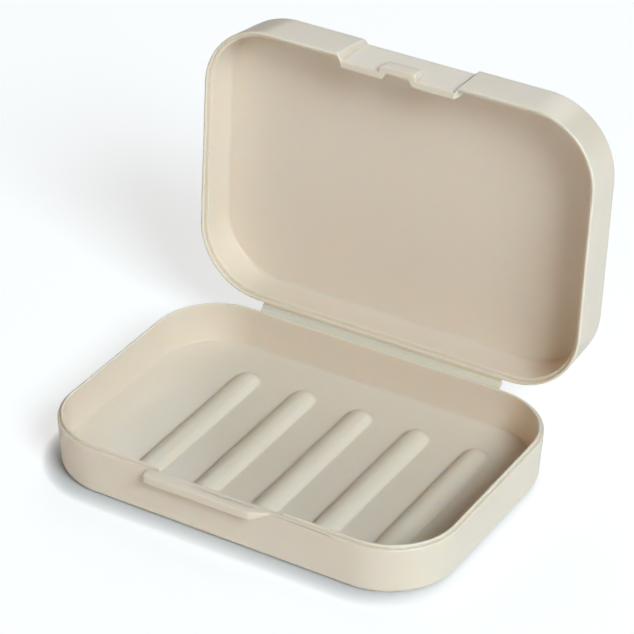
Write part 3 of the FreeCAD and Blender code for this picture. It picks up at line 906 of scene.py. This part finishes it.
# The floor's contact shadow: how far it reaches in metres, how deep it is, and which way it leans
CONTACT_REACH = 0.0055
CONTACT_DEPTH = 2.0
CONTACT_LEAN = (0.69, 0.48, 0.55)
CONTACT_SAMPLES = 16


def node(tree, kind, **values):
    """A new node with its inputs set, where an underscore stands for a space in an input's name."""
    made = tree.nodes.new(kind)
    for name, value in values.items():
        made.inputs[name.replace("_", " ")].default_value = value
    return made


def moulded_plastic():
    """Satin cream plastic: faint colour clouding, fine moulded grain, slightly uneven gloss."""
    material = bpy.data.materials.new("cream_plastic")
    material.use_nodes = True
    tree = material.node_tree
    shader = tree.nodes["Principled BSDF"]
    place = tree.nodes.new("ShaderNodeTexCoord")

    clouds = node(tree, "ShaderNodeTexNoise", Scale=45.0, Detail=3.0, Roughness=0.55)
    tree.links.new(place.outputs["Object"], clouds.inputs["Vector"])
    tint = tree.nodes.new("ShaderNodeMix")
    tint.data_type = "RGBA"
    tint.inputs["A"].default_value = CREAM_DARKER
    tint.inputs["B"].default_value = CREAM_LIGHTER
    tree.links.new(clouds.outputs["Fac"], tint.inputs["Factor"])
    tree.links.new(tint.outputs["Result"], shader.inputs["Base Color"])

    gloss = node(tree, "ShaderNodeTexNoise", Scale=160.0, Detail=4.0, Roughness=0.6)
    tree.links.new(place.outputs["Object"], gloss.inputs["Vector"])
    gloss_range = node(tree, "ShaderNodeMapRange", To_Min=0.27, To_Max=0.35)
    tree.links.new(gloss.outputs["Fac"], gloss_range.inputs["Value"])
    tree.links.new(gloss_range.outputs["Result"], shader.inputs["Roughness"])

    grain = node(tree, "ShaderNodeTexNoise", Scale=2600.0, Detail=3.0, Roughness=0.6)
    tree.links.new(place.outputs["Object"], grain.inputs["Vector"])
    bump = node(tree, "ShaderNodeBump", Strength=0.25, Distance=0.00004)
    tree.links.new(grain.outputs["Fac"], bump.inputs["Height"])
    tree.links.new(bump.outputs["Normal"], shader.inputs["Normal"])

    shader.inputs["IOR"].default_value = PLASTIC_IOR
    shader.inputs["Subsurface Weight"].default_value = 1.0
    shader.inputs["Subsurface Radius"].default_value = SCATTER_COLOURS
    shader.inputs["Subsurface Scale"].default_value = SCATTER_METRES
    return material


def floor_material():
    """White floor: seen by the camera it is lifted to white, less so close to the box, where a contact
    shadow is painted in from ambient occlusion.
    """
    seen_grey = (FLOOR_SEEN, FLOOR_SEEN, FLOOR_SEEN, 1)
    lit_grey = (FLOOR_LIT, FLOOR_LIT, FLOOR_LIT, 1)
    lean_x, lean_y, lean_z = CONTACT_LEAN
    material = bpy.data.materials.new("white_floor")
    material.use_nodes = True
    tree = material.node_tree
    tree.nodes.clear()
    output = tree.nodes.new("ShaderNodeOutputMaterial")
    shade = node(tree, "ShaderNodeBsdfDiffuse", Color=seen_grey)
    # Painted contact shadow: the lift to white is dimmed where ambient occlusion, leaned toward the box's
    # rear right, finds the box near
    openness = node(tree, "ShaderNodeAmbientOcclusion", Distance=CONTACT_REACH)
    openness.samples = CONTACT_SAMPLES
    lean = node(tree, "ShaderNodeCombineXYZ", X=lean_x, Y=lean_y, Z=lean_z)
    tree.links.new(lean.outputs[0], openness.inputs["Normal"])
    strength = tree.nodes.new("ShaderNodeMath")
    strength.operation = "POWER"
    strength.inputs[1].default_value = CONTACT_DEPTH
    tree.links.new(openness.outputs["AO"], strength.inputs[0])
    white = tree.nodes.new("ShaderNodeMath")
    white.operation = "MULTIPLY"
    white.inputs[1].default_value = FLOOR_LIFT
    tree.links.new(strength.outputs[0], white.inputs[0])
    lift = node(tree, "ShaderNodeEmission", Color=(1, 1, 1, 1))
    tree.links.new(white.outputs[0], lift.inputs["Strength"])
    seen = tree.nodes.new("ShaderNodeAddShader")
    tree.links.new(shade.outputs[0], seen.inputs[0])
    tree.links.new(lift.outputs[0], seen.inputs[1])
    lit = node(tree, "ShaderNodeBsdfDiffuse", Color=lit_grey)
    path = tree.nodes.new("ShaderNodeLightPath")
    mix = tree.nodes.new("ShaderNodeMixShader")
    tree.links.new(path.outputs["Is Camera Ray"], mix.inputs[0])
    tree.links.new(lit.outputs[0], mix.inputs[1])
    tree.links.new(seen.outputs[0], mix.inputs[2])
    tree.links.new(mix.outputs[0], output.inputs["Surface"])
    return material


# Stage: floor, world, lamps and camera

FLOOR_SIZE = 30.0
WORLD_STRENGTH = 0.02
LAMP_DISTANCE = 2.6

# Lamps: name, azimuth and elevation seen from the box (0 is the front), size, strength, colour.
# A strength of 1 lights a white surface that faces the lamp to white.
LAMPS = [
    ("key", 60, 38, 1.0, 0.95, (0.79, 0.92, 1.0)),
    ("back", 195, 38, 1.8, 0.35, (0.94, 0.98, 1.0)),
    ("front_fill", 0, 14, 1.6, 0.14, (1.0, 0.84, 0.64)),
    ("left_fill", -75, 15, 1.6, 0.10, (1.0, 0.76, 0.50)),
    ("side_fill", 120, 20, 1.6, 0.07, (1.0, 0.92, 0.80)),
]

# The photograph's view of the box: camera angles in degrees, and the point at the picture's middle
AZIMUTH = 30.354
ELEVATION = 32.026
ROLL = 0.802
AIM_ABOVE = 25.0
AIM_RIGHT = 3.713
AIM_UP = 15.346
CAMERA_DISTANCE = 744.16
FOCAL_PIXELS = 3052.37
PICTURE_PIXELS = 634
SENSOR_MM = 36.0


def stage():
    bpy.ops.mesh.primitive_plane_add(size=FLOOR_SIZE)
    floor = bpy.context.object
    floor.name = "floor"
    floor.data.materials.append(floor_material())

    world = bpy.data.worlds.new("studio")
    bpy.context.scene.world = world
    world.use_nodes = True
    tree = world.node_tree
    tree.nodes.clear()
    output = tree.nodes.new("ShaderNodeOutputWorld")
    fill = node(tree, "ShaderNodeBackground", Color=(1, 1, 1, 1), Strength=WORLD_STRENGTH)
    white = node(tree, "ShaderNodeBackground", Color=(1, 1, 1, 1), Strength=1.0)
    path = tree.nodes.new("ShaderNodeLightPath")
    mix = tree.nodes.new("ShaderNodeMixShader")
    tree.links.new(path.outputs["Is Camera Ray"], mix.inputs[0])
    tree.links.new(fill.outputs[0], mix.inputs[1])
    tree.links.new(white.outputs[0], mix.inputs[2])
    tree.links.new(mix.outputs[0], output.inputs["Surface"])


def direction_from(azimuth, elevation):
    """The direction of a place seen from the box; azimuth 0 is the front and 90 the right."""
    turn, height = math.radians(azimuth), math.radians(elevation)
    return Vector(
        (
            math.sin(turn) * math.cos(height),
            -math.cos(turn) * math.cos(height),
            math.sin(height),
        )
    )


def area_lamp(name, azimuth, elevation, size, strength, colour):
    """A square soft lamp that looks at the box."""
    data = bpy.data.lights.new(name, "AREA")
    data.shape = "SQUARE"
    data.size = size
    data.energy = strength * math.pi**2 * LAMP_DISTANCE**2
    data.color = colour
    lamp = bpy.data.objects.new(name, data)
    bpy.context.scene.collection.objects.link(lamp)
    direction = direction_from(azimuth, elevation)
    lamp.location = direction * LAMP_DISTANCE
    lamp.rotation_euler = direction.to_track_quat("Z", "Y").to_euler()


def camera():
    azimuth, roll = math.radians(AZIMUTH), math.radians(ROLL)
    back = direction_from(AZIMUTH, ELEVATION)
    right = Vector((math.cos(azimuth), math.sin(azimuth), 0))
    up = back.cross(right)
    aim = Vector((0, 0, AIM_ABOVE)) + right * AIM_RIGHT + up * AIM_UP
    place = (aim + back * CAMERA_DISTANCE) * MM
    turned_right = right * math.cos(roll) + up * math.sin(roll)
    turned_up = up * math.cos(roll) - right * math.sin(roll)
    data = bpy.data.cameras.new("camera")
    data.sensor_width = SENSOR_MM
    data.lens = FOCAL_PIXELS / PICTURE_PIXELS * SENSOR_MM
    data.clip_start = 0.01
    data.clip_end = 100
    view = bpy.data.objects.new("camera", data)
    bpy.context.scene.collection.objects.link(view)
    axes = Matrix((turned_right, turned_up, back)).transposed().to_4x4()
    view.matrix_world = Matrix.Translation(place) @ axes
    bpy.context.scene.camera = view


plastic = moulded_plastic()
base_tray(plastic)
lid(plastic)
hinge_strip(plastic)
stage()
for lamp in LAMPS:
    area_lamp(*lamp)
camera()
bpy.context.scene.view_settings.view_transform = "Standard"
